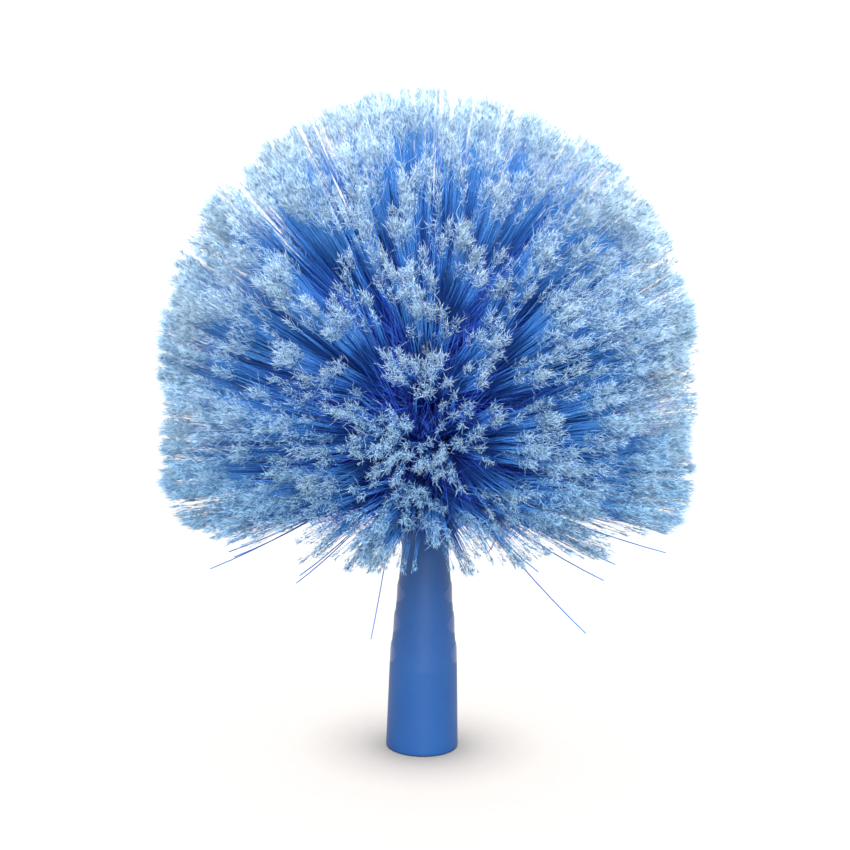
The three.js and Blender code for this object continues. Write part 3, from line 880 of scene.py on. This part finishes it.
def tubes(paths, radii, shade_along, tones):
    """Closed tubes: their corners, their faces, and each face corner's place on the map."""
    number, stations, _ = paths.shape
    run = unit(paths[:, -1] - paths[:, 0])
    across = unit(np.cross(run, rng.normal(0, 1, run.shape)))
    over = np.cross(run, across)
    angle = 2 * np.pi * np.arange(TUBE_SIDES) / TUBE_SIDES
    ring = np.cos(angle)[:, None] * across[:, None] + np.sin(angle)[:, None] * over[:, None]
    walls = paths[:, :-1, None] + radii[None, :-1, None, None] * ring[:, None]
    walls = walls.reshape(number, (stations - 1) * TUBE_SIDES, 3)
    corners = np.concatenate([walls, paths[:, -1:]], 1)
    faces, at, round_at = tube_faces(stations)
    shift = np.arange(number)[:, None, None] * corners.shape[1]
    row = np.floor(tones * (TONE_ROWS - 1))[:, None, None]
    on_map = np.stack([
        np.broadcast_to(shade_along[at], (number, *at.shape)),
        (row + MAP_MARGIN + (1 - 2 * MAP_MARGIN) * round_at / TUBE_SIDES) / TONE_ROWS,
    ], 3)
    return corners.reshape(-1, 3), (faces + shift).reshape(-1, 3), on_map.reshape(-1, 3, 2)


print("tones on the map:", TONE_ROWS)

# %% Make the tufts
# A shade is a place on the ramp of bristle colours, given for each station of a path.
SPLIT_AT = 0.80
SHAFT_SHADES = np.array([0, 0.06, 0.34, 0.66, SPLIT_AT])
SHORT_SHADES = np.array([0, 0.04, 0.25, 0.6])
STRAY_SHADES = np.linspace(0.25, 0.8, STRAY_STATIONS + 2)
# Palest ramp place of each ring's hairs, lowest ring first: painted shade low down, painted light on top.
PAINTED_LIGHT_PALEST_BY_RING = [0.92, 0.95, 0.975, 0.985, 1.0, 1.0]
PALE_SPAN = 0.12
HAIR_FADE = np.array([1, 0.45, 0])
MIDDLE_TONE = 0.5

total_faces = 0
for number, seat in enumerate(seats):
    mine = tuft == number
    mine_hairs = mine[owner]
    few = short_tuft == number
    slipped = stray_tuft == number
    hair_shades = PAINTED_LIGHT_PALEST_BY_RING[seat["ring"]] - PALE_SPAN * HAIR_FADE
    bundles = [
        tubes(shaft_paths[mine], shaft_radii, SHAFT_SHADES, tone_row[mine]),
        tubes(hair_paths[mine_hairs], hair_radii, hair_shades, tone_row[owner][mine_hairs]),
        tubes(short_paths[few], short_radii, SHORT_SHADES, np.full(few.sum(), MIDDLE_TONE)),
        tubes(stray_paths[slipped], stray_radii, STRAY_SHADES, np.full(slipped.sum(), MIDDLE_TONE)),
    ]
    before = np.cumsum([0] + [len(corners) for corners, _, _ in bundles])
    corners = np.vstack([corners for corners, _, _ in bundles])
    faces = np.vstack([faces + first for (_, faces, _), first in zip(bundles, before)])
    piece = piece_of(f"tuft_{number + 1:02d}", corners, faces, bristle_plastic)
    layer = piece.data.uv_layers.new(name=BRISTLE_MAP)
    on_map = np.vstack([places for _, _, places in bundles])
    layer.uv.foreach_set("vector", on_map.astype(np.float32).ravel())
    piece.data.shade_smooth()
    seat_on_brush(piece, "bristle_plastic", seat["node"])
    total_faces += len(faces)
print("tufts:", len(seats), "with", total_faces, "faces")

# %% [markdown]
# ## Paper floor
# The brush stands on a wide sheet of matt paper. It reaches so far back that no horizon shows. The sheet is
# a middle grey, which its own lamp lifts to white, so that the shadow at the foot stays clear. Paper could
# be one plain colour, but a faint fibre keeps it from looking like nothing at all.

# %% Paper floor
PAPER_HALF = 40000
PAPER_FIBRE_MM = 2.5
PAPER_COLOURS = ["#726f6d", "#757371"]
PAPER_ROUGHNESS = 0.9

paper, tree, output = bare_material("matt_pressed_paper")
place = add(tree, "ShaderNodeTexCoord", {})
fibre = add(tree, "ShaderNodeTexNoise", {
    "Vector": place.outputs["Object"], "Scale": 1 / (PAPER_FIBRE_MM * MM), "Detail": 2.0})
paper_tone = add(tree, "ShaderNodeValToRGB", {"Fac": fibre.outputs["Fac"]})
for stop, colour in zip(paper_tone.color_ramp.elements, PAPER_COLOURS):
    stop.color = linear(colour)
sheet = add(tree, "ShaderNodeBsdfPrincipled", {
    "Base Color": paper_tone.outputs["Color"], "Roughness": PAPER_ROUGHNESS})
tree.links.new(sheet.outputs["BSDF"], output.inputs["Surface"])
paper_corners = [[x * PAPER_HALF, y * PAPER_HALF, 0] for x, y in ((-1, -1), (1, -1), (1, 1), (-1, 1))]
floor_sheet = piece_of("paper_floor", paper_corners, [(0, 1, 2, 3)], paper)
print("floor laid")

# %% [markdown]
# ## Light
# A photographer lights the backdrop by itself until it is just white, and the product with soft boxes from
# above, from beside the camera and from behind. Light linking does the same here: three lamps reach only
# the brush, a fourth only the paper, where the moulding is the one thing that shades it. The bright room
# fills both and leaves a soft shadow at the foot.

# %% Soft lights on the brush
# Lamp sizes and places are in metres.
SOFTBOX_SIZE = 1.2
SOFTBOX_WATTS = 16
SOFTBOX_PLACE = (0.1, -0.25, 1.5)
FILL_SIZE = 0.6
FILL_WATTS = 37
FILL_PLACE = (0.05, -1.1, 0.65)
BACK_FILL_SIZE = 0.8
BACK_FILL_WATTS = 20
BACK_FILL_PLACE = (-0.2, 1.1, 0.6)
BRUSH_MIDDLE = (0, 0, 0.12)


def group_of(name, members):
    """A collection that a lamp can be linked to."""
    group = bpy.data.collections.new(name)
    for member in members:
        group.objects.link(member)
    return group


def lamp_of(name, kind, place):
    """A lamp at a place that faces the middle of the brush."""
    lamp = bpy.data.objects.new(name, bpy.data.lights.new(name, kind))
    way = Vector(BRUSH_MIDDLE) - Vector(place)
    lamp.matrix_world = Matrix.Translation(place) @ way.to_track_quat("-Z", "Y").to_matrix().to_4x4()
    bpy.context.scene.collection.objects.link(lamp)
    return lamp


pieces = [piece for piece in bpy.context.scene.objects if piece.type == "MESH" and piece != floor_sheet]
brush_only = group_of("brush_only", pieces)
for name, size, watts, place in (
        ("overhead_softbox", SOFTBOX_SIZE, SOFTBOX_WATTS, SOFTBOX_PLACE),
        ("front_fill", FILL_SIZE, FILL_WATTS, FILL_PLACE),
        ("back_fill", BACK_FILL_SIZE, BACK_FILL_WATTS, BACK_FILL_PLACE)):
    softbox = lamp_of(name, "AREA", place)
    softbox.data.shape = "SQUARE"
    softbox.data.size = size
    softbox.data.energy = watts
    softbox.light_linking.receiver_collection = brush_only
print("pieces lit:", len(pieces))

# %% Light on the paper, and the room
# The standard view shows colours as they were picked.
PAPER_LIGHT_STRENGTH = 12.4
PAPER_LIGHT_DEG = 23
PAPER_LIGHT_PLACE = (0, 0, 1.5)
ROOM_COLOUR = "#ffffff"
ROOM_STRENGTH = 2.2

paper_light = lamp_of("paper_light", "SUN", PAPER_LIGHT_PLACE)
paper_light.data.energy = PAPER_LIGHT_STRENGTH
paper_light.data.angle = math.radians(PAPER_LIGHT_DEG)
paper_light.light_linking.receiver_collection = group_of("paper_only", [floor_sheet])
paper_light.light_linking.blocker_collection = group_of("moulding_only", [moulding])
room = bpy.data.worlds.new("bright_room")
room.use_nodes = True
room.node_tree.nodes["Background"].inputs["Color"].default_value = linear(ROOM_COLOUR)
room.node_tree.nodes["Background"].inputs["Strength"].default_value = ROOM_STRENGTH
bpy.context.scene.world = room
bpy.context.scene.view_settings.view_transform = "Standard"
print("room strength:", ROOM_STRENGTH)
